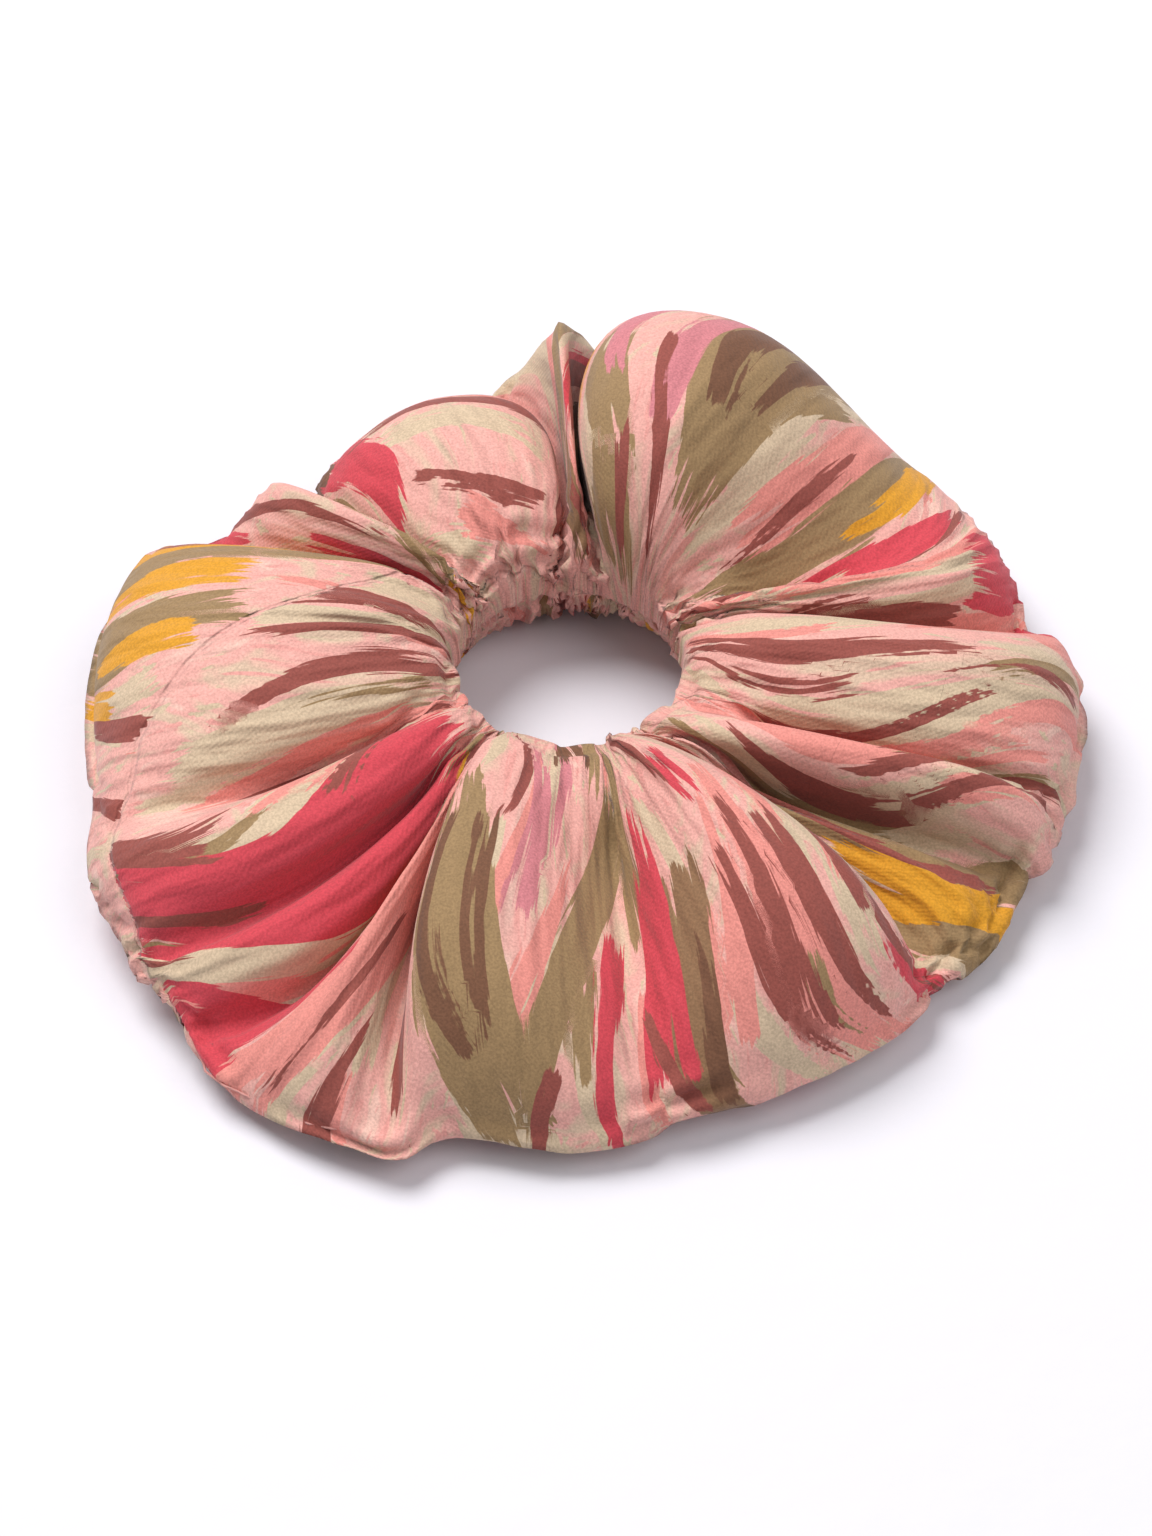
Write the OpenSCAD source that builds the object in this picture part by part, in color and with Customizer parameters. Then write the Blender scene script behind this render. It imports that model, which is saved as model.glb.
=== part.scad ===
// Scrunchie: a printed cloth tube gathered on a loop of elastic.
// Origin on the surface it lies on, at the middle of the hole. +Z is up.
// The ring is stored in two halves, left and right, because a rigid body can't
// stretch: pulling the scrunchie open slides the right half along +X.

/* [Ring] */
// Width of the hole inside the gathers
hole_d = 30; // [20:0.5:50]
// Width of the puffed tube, from the hole to its outer edge
tube_w = 54; // [25:1:90]
// Height of the puffed tube
ring_h = 30; // [20:1:45]
// Depth to which the tube is pressed flat against the surface
rest_flat = 2.5; // [0:0.5:4]

/* [Gathers] */
// Number of puffs round the outer edge
puffs = 13; // [6:1:20]
// Depth of a valley at the outer edge
valley_depth = 6; // [0:0.5:9]
// Depth of a valley on top
valley_drop = 5; // [0:0.5:8]
// Angle of the first valley round the ring
first_valley = 256; // [0:1:359]

/* [Cloth] */
// Thickness of one layer of the crepe
cloth_layer = 0.3; // [0.2:0.05:0.6]
// Length of cloth gathered into each millimetre of the ring
fullness = 2.6; // [1.5:0.1:4]
// Width of the raw edges turned inside along the long seam
seam_allowance = 6; // [4:0.5:12]
// Angle round the ring at which the long seam is at the outer edge
seam_outer_at = 259; // [0:1:359]
// Turns that the tube is twisted by in one round of the ring
tube_turns = 1; // [0:1:1]

/* [Elastic] */
// Thickness of the bunched cloth between the elastic and the hole
gather_t = 5.5; // [3:0.5:9]
// Width of the flat elastic
elastic_w = 6; // [3:0.5:10]
// Thickness of the flat elastic
elastic_t = 1; // [0.6:0.1:2]
// Length over which its two ends overlap
elastic_overlap = 12; // [8:1:20]
// Angle of the middle of that overlap
elastic_join_at = 238; // [120:1:250]

/* [Thread] */
// Diameter of the sewing thread
thread_d = 0.35; // [0.2:0.05:0.6]
// Stitch length of the long seam
seam_stitch = 3; // [2:0.25:5]
// Stitch length of the closing seam
closing_stitch = 4; // [2:0.25:6]
// Angle of the closing seam, where the ends of the tube meet
closing_at = 256; // [100:1:262]
// Reach of a closing stitch to each side of that seam
closing_reach = 1.2; // [0.6:0.1:2]
// Rows of zigzag that hold the elastic's overlap
zigzag_rows = 3; // [2:1:4]

/* [Stretch] */
// Clearance between the two halves at rest
half_gap = 0.2; // [0.1:0.05:0.5]

/* [Hidden] */

cloth_t = cloth_layer * fullness;        // gathered cloth, taken as one even wall
allowance_t = 2 * cloth_layer;           // the two raw edges, lying on the wall
hole_r = hole_d / 2;
outer_r = hole_r + tube_w;
elastic_r = hole_r + gather_t;           // the loop is 129 mm long when relaxed
elastic_z = (ring_h - rest_flat) / 2;    // the height of the tube's inner fold
section_loop = 2 * tube_w + 1.2 * ring_h; // about the way round the tube
allowance_deg = 360 * seam_allowance / section_loop;

stations = 4 * puffs;                    // steps of the sweep in each half ring
around = 26;                             // points round the tube's section
step_deg = 1;                            // width of the step beside the allowance
thread_sides = 5;
side_power = 0.85;                       // squareness of the section, sideways
crown_power = 0.7;                       // squareness of the section, upwards
puff_power = 0.7;                        // sharpness of the valleys

function signed_power(x, p) = sign(x) * pow(abs(x), p);

// 1 on the crest of a puff and 0 in a valley
function puff(theta) =
    pow(abs(sin((theta - first_valley) * puffs / 2)), puff_power);

// A point of the tube's section: phi 0 is its outer edge, 90 its top and 180 its
// inner edge. inset is the depth below the outside of the cloth.
function section_point(theta, phi, inset) =
    let (
        low = hole_r + inset,
        high = outer_r - valley_depth * (1 - puff(theta)) - inset,
        top = ring_h - valley_drop * (1 - puff(theta)) - inset,
        bottom = inset - rest_flat,
        r = (low + high) / 2 + (high - low) / 2 * signed_power(cos(phi), side_power),
        z = (top + bottom) / 2 + (top - bottom) / 2 * signed_power(sin(phi), crown_power)
    )
    [r * cos(theta), r * sin(theta), max(z, inset)];

// Where the long seam is round the section
function seam_phi(theta) = (seam_outer_at - theta) * tube_turns - 90 * (1 - tube_turns);

// Section angles, from the seam onwards: the allowance, its step, then evenly spaced
section_phis = concat(
    [0, allowance_deg / 2, allowance_deg, allowance_deg + step_deg],
    [for (k = [1 : around - 5])
        allowance_deg + step_deg
        + k * (360 - allowance_deg - 2 * step_deg) / (around - 4)],
    [360 - step_deg]);

// Sweeps loops of points into one closed solid with flat ends
module loft(loops) {
    n = len(loops[0]);
    last = len(loops) - 1;
    points = [for (loop = loops) for (p = loop) p];
    sides = [for (i = [0 : last - 1]) for (k = [0 : n - 1])
        let (j = (k + 1) % n)
        each [[i * n + k, i * n + j, (i + 1) * n + j],
              [i * n + k, (i + 1) * n + j, (i + 1) * n + k]]];
    first_end = [[for (k = [n - 1 : -1 : 0]) k]];
    far_end = [[for (k = [0 : n - 1]) last * n + k]];
    polyhedron(concat(points), concat(sides, first_end, far_end), convexity = 10);
}

// Sweeps an outer and an inner loop into one hollow solid with ring-shaped ends
module hollow_loft(outer, inner) {
    n = len(outer[0]);
    last = len(outer) - 1;
    skip = len(outer) * n;
    points = concat([for (loop = outer) for (p = loop) p],
                    [for (loop = inner) for (p = loop) p]);
    walls = [for (i = [0 : last - 1]) for (k = [0 : n - 1])
        let (j = (k + 1) % n, a = i * n + k, b = i * n + j, c = a + n, d = b + n)
        each [[a, b, d], [a, d, c],
              [skip + a, skip + d, skip + b], [skip + a, skip + c, skip + d]]];
    ends = [for (k = [0 : n - 1])
        let (j = (k + 1) % n, e = last * n)
        each [[k, skip + k, skip + j], [k, skip + j, j],
              [e + k, skip + e + j, skip + e + k], [e + k, e + j, skip + e + j]]];
    polyhedron(points, concat(walls, ends), convexity = 10);
}

function cross_unit(a, b) = let (c = cross(a, b)) c / norm(c);
function unit(v) = v / norm(v);

// A thread that follows a line of points
module thread(path) {
    last = len(path) - 1;
    loft([for (i = [0 : last])
        let (
            along = unit(path[min(i + 1, last)] - path[max(i - 1, 0)]),
            side = cross_unit(along, [0.123, 0.456, 1]),
            up = cross(side, along)
        )
        [for (k = [0 : thread_sides - 1])
            let (a = 360 * k / thread_sides)
            path[i] + thread_d / 2 * (cos(a) * side + sin(a) * up)]]);
}

// One half of the cloth tube, from angle start on
module half_casing(start) {
    thetas = [for (i = [0 : stations]) start + 180 * i / stations];
    function inset(k) = cloth_t + (k <= 2 ? allowance_t : 0);
    outer = [for (t = thetas) [for (k = [0 : around - 1])
        section_point(t, seam_phi(t) + section_phis[k], 0)]];
    inner = [for (t = thetas) [for (k = [0 : around - 1])
        section_point(t, seam_phi(t) + section_phis[k], inset(k))]];
    hollow_loft(outer, inner);
}

// One half of the elastic loop, from angle start on
module half_elastic(start) {
    rotate([0, 0, start])
        rotate_extrude(angle = 180, $fn = 96)
            translate([elastic_r - elastic_t / 2, elastic_z - elastic_w / 2])
                square([elastic_t, elastic_w]);
}

// The stitches of the long seam in one half: they dip into the cloth and out of it
module half_long_seam(start) {
    seam_r = (hole_r + outer_r) / 2;
    clear_end = 2;                       // degrees left free at each cut
    stitches = round(PI * seam_r / seam_stitch);
    shallow = cloth_t * 0.5;
    deep = cloth_t + allowance_t + thread_d * 0.7;
    thread([for (i = [0 : stitches])
        let (
            t = start + clear_end + (180 - 2 * clear_end) * i / stitches,
            phi = seam_phi(t) + allowance_deg * 0.12
        )
        section_point(t, phi, i % 2 == 0 ? shallow : deep)]);
}

module casing_left() {
    color("#e3a7a0") translate([-half_gap / 2, 0, 0]) half_casing(90);
}

module casing_right() {
    color("#d9b8a0") translate([half_gap / 2, 0, 0]) half_casing(-90);
}

module elastic_left() {
    overlap_deg = 360 * elastic_overlap / (2 * PI * elastic_r);
    color("#f2efe8") translate([-half_gap / 2, 0, 0]) {
        half_elastic(90);
        rotate([0, 0, elastic_join_at - overlap_deg / 2])
            rotate_extrude(angle = overlap_deg, $fn = 96)
                translate([elastic_r + elastic_t / 2, elastic_z - elastic_w / 2])
                    square([elastic_t, elastic_w]);
    }
}

module elastic_right() {
    color("#f2efe8") translate([half_gap / 2, 0, 0]) half_elastic(-90);
}

module elastic_join_thread() {
    row_points = 6;                      // turns of the zigzag in each row
    r = elastic_r + elastic_t * 1.5 + thread_d / 2;
    reach = elastic_w / 2 - thread_d * 1.5;
    row_w = 2 * reach / zigzag_rows;
    span_deg = 0.8 * 360 * elastic_overlap / (2 * PI * elastic_r);
    color("#f7f3ea") translate([-half_gap / 2, 0, 0])
        thread([for (row = [0 : zigzag_rows - 1]) for (i = [0 : row_points])
            let (
                s = (row % 2 == 0 ? i : row_points - i) / row_points,
                t = elastic_join_at + (s - 0.5) * span_deg,
                z = elastic_z - reach + row_w * (row + (i % 2 == 0 ? 0.15 : 0.85))
            )
            [r * cos(t), r * sin(t), z]]);
}

module long_seam_thread_left() {
    color("#c98f88") translate([-half_gap / 2, 0, 0]) half_long_seam(90);
}

module long_seam_thread_right() {
    color("#c98f88") translate([half_gap / 2, 0, 0]) half_long_seam(-90);
}

// Ladder stitches round the tube where its two ends meet
module closing_seam_thread() {
    stitches = round(section_loop / closing_stitch);
    depth = cloth_t * 0.45;
    reach_deg = 180 / PI * closing_reach / ((hole_r + outer_r) / 2);
    open_deg = 4;                        // the thread starts and ends this far apart
    color("#c98f88") translate([-half_gap / 2, 0, 0])
        thread([for (i = [0 : stitches]) for (side = [-1, 1])
            section_point(closing_at + (i % 2 == 0 ? side : -side) * reach_deg,
                          (360 - open_deg) * (i + 0.15 * side) / stitches, depth)]);
}

casing_left();
casing_right();
elastic_left();
elastic_right();
elastic_join_thread();
long_seam_thread_left();
long_seam_thread_right();
closing_seam_thread();
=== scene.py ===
# %% [markdown]
# # A scrunchie, from its cloth and its elastic
# A scrunchie is a strip of cloth sewn into a tube, gathered on a loop of elastic and
# joined into a ring. This lesson starts with the cloth tube, whose folds are placed from
# a table and wrinkled by a cloth simulation. Then it prints the cloth, adds
# its weave, and makes the loop of elastic and the stitches.

# %% Load the frame
import math

import bpy
import numpy as np
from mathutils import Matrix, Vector


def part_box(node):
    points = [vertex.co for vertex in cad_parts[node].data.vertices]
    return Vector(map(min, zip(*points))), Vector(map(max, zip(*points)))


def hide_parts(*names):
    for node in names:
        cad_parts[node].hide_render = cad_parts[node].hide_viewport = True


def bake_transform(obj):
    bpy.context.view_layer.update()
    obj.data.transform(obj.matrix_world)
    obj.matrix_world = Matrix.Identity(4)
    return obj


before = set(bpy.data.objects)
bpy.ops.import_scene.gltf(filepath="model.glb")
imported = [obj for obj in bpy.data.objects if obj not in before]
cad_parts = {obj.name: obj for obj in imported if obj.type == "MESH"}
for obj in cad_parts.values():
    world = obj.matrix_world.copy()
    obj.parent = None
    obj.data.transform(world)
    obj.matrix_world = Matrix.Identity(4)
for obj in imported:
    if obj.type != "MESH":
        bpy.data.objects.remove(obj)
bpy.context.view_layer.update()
MM = 0.001
ELASTIC_LO, ELASTIC_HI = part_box("elastic_left")
ELASTIC_R = (ELASTIC_HI.y - ELASTIC_LO.y) / 2

# %% [markdown]
# ## The camera, the floor and the light
# The ring lies on a nearly white plastered board and is seen from the front, about 50
# degrees up, from half a metre. A long lens keeps the near puffs from looking too large.

# %% The camera
CAMERA_HEIGHT_DEG = 50
CAMERA_DISTANCE = 0.5
AIM = Vector((0.001, -0.006, 0))
SEEN_HEIGHT = 0.209        # what the picture's long side covers at the ring


def make_camera():
    up = math.radians(CAMERA_HEIGHT_DEG)
    data = bpy.data.cameras.new("camera")
    camera = bpy.data.objects.new("camera", data)
    bpy.context.scene.collection.objects.link(camera)
    camera.location = AIM + CAMERA_DISTANCE * Vector((0, -math.cos(up), math.sin(up)))
    camera.rotation_euler = (math.radians(90) - up, 0, 0)
    data.lens = data.sensor_width * CAMERA_DISTANCE / SEEN_HEIGHT
    data.clip_start = 0.01
    bpy.context.scene.camera = camera
    return camera


make_camera()
bpy.context.scene.view_settings.view_transform = "Standard"    # keeps the print's colours

# %% The floor
FLOOR_SIZE = 6


def make_floor():
    bpy.ops.object.select_all(action="DESELECT")
    bpy.ops.mesh.primitive_plane_add(size=FLOOR_SIZE)
    floor = bpy.context.object
    floor.name = "floor"
    return floor


floor = make_floor()

# %% The light


def add_area_light(name, place, aim, size, power, colour=(1, 1, 1)):
    data = bpy.data.lights.new(name, "AREA")
    data.shape = "DISK"
    data.size = size
    data.energy = power
    data.color = colour
    light = bpy.data.objects.new(name, data)
    bpy.context.scene.collection.objects.link(light)
    light.location = place
    light.rotation_euler = (Vector(aim) - Vector(place)).to_track_quat("-Z", "Y").to_euler()
    return light


def make_light():
    world = bpy.data.worlds.new("studio")
    bpy.context.scene.world = world
    world.use_nodes = True
    world.node_tree.nodes["Background"].inputs["Color"].default_value = (0.95, 0.96, 1, 1)
    world.node_tree.nodes["Background"].inputs["Strength"].default_value = 0.38
    add_area_light("window", (-0.42, 0.4, 1.1), (0, 0, 0), 0.8, 16)
    add_area_light("fill", (0.6, -0.3, 1.0), (0, 0, 0), 0.9, 4)


make_light()

# %% [markdown]
# ## The cloth
# The strip is 480 mm long and its tube 57 mm wide when flat. Going round the ring, each
# puff lies between two creases. The table says, for the crease before each puff, at
# which angle it leaves the hole, where it is half-way out and where it ends, and how
# deep it is at the hole and at the edge; then how far the puff reaches and how high it
# stands, all in millimetres and degrees.

# %% The gathers
STRIP_LENGTH = 480 * MM
TUBE_WIDTH = 57 * MM
CREASE_DEPTH = 2.1         # times the table's depths, because settling fills the creases
LEAN = 1.5                 # times the table's leans, for the same reason
EXTRA_SHARE = 7            # added to each puff's degrees, so narrow puffs get enough cloth
HOLE_R = 15.3              # mm, to the middle of the small gathers' swing
RIDGE_HEIGHT = 21.5        # mm, of the gathers over the elastic
SMALL_GATHERS = 30         # of them round the hole
LEAN_PART = 0.36           # of a puff, the part next to a crease that leans over it
ROUGHNESS = 0.05 * MM      # random shift of every point
AROUND_RING = 224
AROUND_TUBE = 48

# crease: its angle at the hole, half-way and at the edge (deg), its depth at the hole and
# at the edge, and how far it notches the outline (mm); puff: reach and height (mm), how
# flat its edge is pressed (0 round, 1 a sharp fold), how high that edge stands (mm), and
# how far it leans over the crease before it and the one after it (mm)
GATHERS = [
    ("right_back", (16, 2, 10), (6, 12), 4, 65, 24, 0.5, 7, 0, 0),
    ("back_right", (30, 16, 36), (11, 4), 0, 62, 40, 0.7, 12, 0, 5),
    ("back", (70, 88, 76), (14, 24), 6, 63, 30, 0.4, 7, 0, 0),
    ("back_left", (98, 92, 104), (8, 12), 3, 53, 27, 0.4, 7, 3, 2),
    ("left_back", (138, 142, 134), (8, 10), 2, 54, 27, 0.5, 7, 0, 0),
    ("left", (152, 159, 154), (3, 9), 0, 64, 27, 0.3, 9, 3, 3),
    ("left_front", (206, 210, 202), (11, 2), 0, 70, 25, 0.3, 8, 0, 3),
    ("left_low", (226, 230, 218), (6, 2), 0, 71, 20, 0.4, 7, 0, 3),
    ("front_left", (236, 240, 228), (8, 12), 1, 75, 20, 0.9, 4, 0, 0),
    ("front", (242, 246, 255), (10, 14), -4, 70, 25, 0.8, 4, 4, 0),
    ("front_right", (285, 281, 280), (9, 6), 1, 68, 25, 0.7, 5, 1, 3),
    ("right_low", (294, 312, 314), (9, 18), 3, 67, 13, 0.7, 4, 0, 0),
    ("right_front", (306, 325, 335), (7, 14), 2, 68, 25, 0.5, 6, 3, 0),
    ("right", (335, 335, 345), (9, 3), 0, 69, 27, 0.4, 8, 2, 3),
]


def section(phi, hole, reach, top, flat, lift):
    """Place on the tube's section: phi 0 is the outer edge, pi/2 the top, pi the hole."""
    c, s = math.cos(phi), math.sin(phi)
    out = (1 + c) / 2
    r = (hole + reach) / 2 + (reach - hole) / 2 * math.copysign(abs(c) ** 0.85, c)
    sharp = 0.75 + 0.55 * flat * max(c, 0)
    if s >= 0:
        base = lift * out**2 + 12 * MM * (1 - out) ** 2
        z = base + (top - base) * s**sharp
    else:
        rise = max(0, (out - 0.8) / 0.2)
        inner = max(0, (0.2 - out) / 0.2)
        z = 0.4 * MM + lift * rise**1.5 + 11.6 * MM * inner**1.5
    return r, z


def crease_angle(crease, out):
    """Angle of a crease at out, which is 0 at the hole and 1 at the edge."""
    a, b, c = crease
    m = 0.42               # where the table's half-way angle applies
    la = (out - m) * (out - 1) / m
    lb = out * (out - 1) / (m * (m - 1))
    lc = out * (out - m) / (1 - m)
    return a * la + b * lb + c * lc


def mix(a, b, x):
    return a * (1 - x) + b * x


def bulge(x):
    return math.sin(math.pi * x) if 0 < x < 1 else 0


def puff_ends():
    """Where each puff starts along the strip, from 0 to 1."""
    edges = [g[1][2] for g in GATHERS] + [GATHERS[0][1][2] + 360]
    share = [edges[k + 1] - edges[k] + EXTRA_SHARE for k in range(len(GATHERS))]
    return np.concatenate([[0], np.cumsum(share)]) / sum(share)


def gathered_tube():
    """The gathered tube, as points of a grid: along the strip, then round the tube."""
    rng = np.random.default_rng(7)
    count = len(GATHERS)
    ends = puff_ends()
    points = np.zeros((AROUND_RING, AROUND_TUBE, 3))
    for i in range(AROUND_RING):
        u = i / AROUND_RING
        k = int(np.searchsorted(ends, u, side="right") - 1)
        x = (u - ends[k]) / (ends[k + 1] - ends[k])
        _, before, depth, notch, reach, top, flat, lift, lean_back, lean_on = GATHERS[k]
        _, after, depth2, notch2, reach2, top2, flat2, lift2, lean2, _ = GATHERS[(k + 1) % count]
        _, _, _, _, reach0, top0, flat0, lift0, _, lean0 = GATHERS[k - 1]
        if k == count - 1:
            after = tuple(a + 360 for a in after)
        # a puff is steep where it leans over its neighbour and gentle where it is covered
        steep = mix(0.6 - 0.05 * lean_back + 0.1 * lean0, 0.6 - 0.05 * lean_on + 0.1 * lean2, x)
        # its crest lies towards the neighbour that it leans over
        crest = x ** (1 + 0.14 * (lean_on - lean_back))
        puff = abs(math.sin(math.pi * crest)) ** steep
        low_reach = mix((reach + reach0) / 2 - notch, (reach + reach2) / 2 - notch2, x)
        edge = mix(low_reach, reach, puff)
        base_top = mix((top + top0) / 2, (top + top2) / 2, x)
        flat = mix(mix((flat + flat0) / 2, (flat + flat2) / 2, x), flat, puff)
        lift = mix(mix((lift + lift0) / 2, (lift + lift2) / 2, x), lift, puff)
        lean = lean_on * bulge((1 - x) / LEAN_PART) - lean_back * bulge(x / LEAN_PART)
        lean = LEAN * lean
        turn = 2 * math.pi * u
        wander = SMALL_GATHERS * turn + 4 * math.sin(3 * turn) + 2.4 * math.sin(7 * turn + 1)
        swell = 0.55 + 0.45 * math.sin(5 * turn + 0.6)
        hole = HOLE_R + 0.6 * swell * math.sin(wander)
        for j in range(AROUND_TUBE):
            phi = 2 * math.pi * j / AROUND_TUBE
            out = (1 + math.cos(phi)) / 2
            fall = mix(mix(depth[0], depth[1], out), mix(depth2[0], depth2[1], out), x)
            low_top = max(base_top - CREASE_DEPTH * fall, 3)
            height = mix(low_top, top, puff)
            over_elastic = min(1, max(0, (0.42 - out) / 0.2))
            height = max(height, RIDGE_HEIGHT * over_elastic)
            height += 0.9 * swell * math.sin(wander + 1) * over_elastic
            angle = mix(crease_angle(before, out), crease_angle(after, out), x)
            r, z = section(phi, hole * MM, edge * MM, height * MM, flat, lift * MM)
            a = math.radians(angle) + lean * MM / r * max(math.sin(phi), 0)
            points[i, j] = (r * math.cos(a), r * math.sin(a), z)
    points += rng.normal(0, ROUGHNESS, points.shape)
    return points


# %% [markdown]
# ## Letting it settle
# The table's shape has no small wrinkles, so a cloth simulation adds them. It starts from
# the tube pressed flat into a band, 480 mm long at its outer edge and about 300 mm at the
# hole, and draws it into the table's shape. Three rows at the hole are pinned to that
# shape and a spring at every other point holds it near, so the simulation doesn't find
# the folds: it adds the small wrinkles between them, pushes the cloth off itself and off
# the table, and puffs it up. It runs at ten times the real size, where Blender's cloth
# is steadier.

# %% The simulation
SIM_SCALE = 10
REST_HOLE_R = 48 * MM      # radius of the flat band's row at the hole
GATHER_FRAMES = 14         # frames in which the band is drawn into shape
SIM_FRAMES = 22            # frames in all
SOFT_HOLD = 0.9            # pin weight of the rows that springs hold
HOLD_STIFFNESS = 8         # of those springs
REST_GAP = 0.3 * MM        # of each layer of the flat band from its middle
NEAR_HOLE_FROM = 0.62      # the part across the tube from which the hole's rows are pressed


def rest_tube():
    """The tube pressed flat as a cone's band, shorter towards the hole than at the edge."""
    edge_r = STRIP_LENGTH / (2 * math.pi)
    points = np.zeros((AROUND_RING, AROUND_TUBE, 3))
    for j in range(AROUND_TUBE):
        across = 1 - abs(2 * j / AROUND_TUBE - 1)       # 0 at the edge, 1 at the hole
        r = edge_r + (REST_HOLE_R - edge_r) * across
        z = math.sqrt(TUBE_WIDTH**2 - (edge_r - REST_HOLE_R) ** 2) * across
        gap = REST_GAP * (1 if j < AROUND_TUBE / 2 else -1)
        for i in range(AROUND_RING):
            a = 2 * math.pi * i / AROUND_RING
            points[i, j] = ((r + gap) * math.cos(a), (r + gap) * math.sin(a), z)
    return points


def grid_faces():
    n, m = AROUND_RING, AROUND_TUBE
    faces = []
    for i in range(n):
        for j in range(m):
            i2, j2 = (i + 1) % n, (j + 1) % m
            faces.append((i * m + j, i2 * m + j, i2 * m + j2, i * m + j2))
    return faces


def settle(points):
    """Gathers the flat tube towards points' shape, with springs, and returns the result."""
    mesh = bpy.data.meshes.new("casing")
    mesh.from_pydata((rest_tube() * SIM_SCALE).reshape(-1, 3).tolist(), [], grid_faces())
    casing = bpy.data.objects.new("casing", mesh)
    bpy.context.scene.collection.objects.link(casing)
    casing.shape_key_add(name="flat")
    gathered = casing.shape_key_add(name="gathered")
    gathered.data.foreach_set("co", (points * SIM_SCALE).reshape(-1))
    for value, number in ((0, 1), (1, GATHER_FRAMES)):
        gathered.value = value
        gathered.keyframe_insert("value", frame=number)
    held = casing.vertex_groups.new(name="held")
    mid = AROUND_TUBE // 2
    for i in range(AROUND_RING):
        for j in range(AROUND_TUBE):
            weight = 1 if abs(j - mid) <= 1 else SOFT_HOLD
            held.add([i * AROUND_TUBE + j], weight, "REPLACE")

    bpy.ops.object.select_all(action="DESELECT")
    bpy.ops.mesh.primitive_plane_add(size=4)
    table = bpy.context.object
    table.modifiers.new("stop", "COLLISION")
    table.collision.thickness_outer = 0.005
    table.collision.cloth_friction = 15

    cloth = casing.modifiers.new("cloth", "CLOTH")
    s = cloth.settings
    s.quality = 6
    s.mass = 0.3
    s.tension_stiffness = 15
    s.compression_stiffness = 15
    s.shear_stiffness = 5
    s.bending_stiffness = 1.2
    s.tension_damping = 8
    s.compression_damping = 8
    s.shear_damping = 8
    s.bending_damping = 0.8
    s.air_damping = 4
    s.vertex_group_mass = "held"
    s.pin_stiffness = HOLD_STIFFNESS
    s.use_pressure = True
    s.uniform_pressure_force = 0.4
    s.effector_weights.gravity = 0.2
    c = cloth.collision_settings
    c.collision_quality = 2
    c.distance_min = 0.004
    c.use_self_collision = True
    c.self_distance_min = 0.005
    c.self_friction = 5
    scene = bpy.context.scene
    for number in range(1, SIM_FRAMES + 1):
        scene.frame_set(number)
    dg = bpy.context.evaluated_depsgraph_get()
    done = casing.evaluated_get(dg)
    co = np.zeros(len(done.data.vertices) * 3)
    done.data.vertices.foreach_get("co", co)
    co = co.reshape(points.shape) / SIM_SCALE
    bpy.data.objects.remove(casing)
    bpy.data.objects.remove(table)
    scene.frame_set(1)
    return co


def press_gathers(points, rounds=2):
    """Evens out the smallest crumples beside the hole, at the front more than at the back."""
    across_row = 1 - np.abs(1 - 2 * np.arange(AROUND_TUBE) / AROUND_TUBE)
    near_hole = np.clip((across_row - NEAR_HOLE_FROM) / 0.3, 0, 1)
    edge = points[:, 0]
    front = 0.5 - 0.5 * edge[:, 1] / np.hypot(edge[:, 0], edge[:, 1])
    share = 0.6 * front[:, None, None] * near_hole[None, :, None]
    for _ in range(rounds):
        beside = (np.roll(points, 1, 0) + np.roll(points, -1, 0)) / 2
        points = points + share * (beside - points)
    return points


casing_points = gathered_tube()
casing_points = press_gathers(settle(casing_points))
reach = np.abs(casing_points.reshape(-1, 3)).max(axis=0) / MM
print("settled cloth reaches, in mm:", [round(float(v), 1) for v in reach])

# %% [markdown]
# ## The casing as one sheet
# The grid is doubled by running a smooth curve through its points. Each point keeps its
# place on the cloth: how far along the strip it is, and how far round the tube. Print,
# weave and stitches are all laid out in those two lengths, so they follow every fold.

# %% The fine grid


def doubled(points, axis):
    """Twice as many points round a closed axis, on a curve through the old ones."""
    ahead = np.roll(points, -1, axis)
    middle = (9 * (points + ahead) - np.roll(points, 1, axis) - np.roll(points, -2, axis)) / 16
    shape = list(points.shape)
    shape[axis] *= 2
    return np.stack([points, middle], axis + 1).reshape(shape)


fine = doubled(doubled(casing_points, 0), 1)
LOWEST = 0.45 * MM                              # room for the cloth's own thickness
fine[..., 2] = np.maximum(fine[..., 2], LOWEST)
FINE_RING, FINE_TUBE = fine.shape[:2]
along_strip = np.repeat(np.arange(FINE_RING) / FINE_RING, FINE_TUBE)
round_tube = np.tile(np.arange(FINE_TUBE) / FINE_TUBE, FINE_RING)
# across: 0 at the hole, 1 at the outer edge over the top, 2 at the hole again underneath
across = np.where(round_tube <= 0.5, 1 - 2 * round_tube, 3 - 2 * round_tube)
print("fine grid:", fine.shape[:2])

# %% [markdown]
# ## The long seam
# The strip was folded and sewn along its length, then turned. The tube twisted as it was
# gathered, so the seam winds once round it: it comes up through the hole at the back,
# shows on the left puffs, goes over the outer edge at the front left and runs underneath.

# %% Where the seam runs
# how far along the ring the seam is, in puffs of GATHERS, and where it is across the tube
SEAM_PLACES = [("right_back", 0, 1.7), ("back", 0.5, 2.0), ("left_back", 0.4, 2.16),
               ("left", 0.2, 2.3), ("left", 0.8, 2.78), ("left_low", 0, 2.95),
               ("front", 0, 3.1), ("right_front", 0.5, 3.5), ("right", 1, 3.7)]


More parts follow.
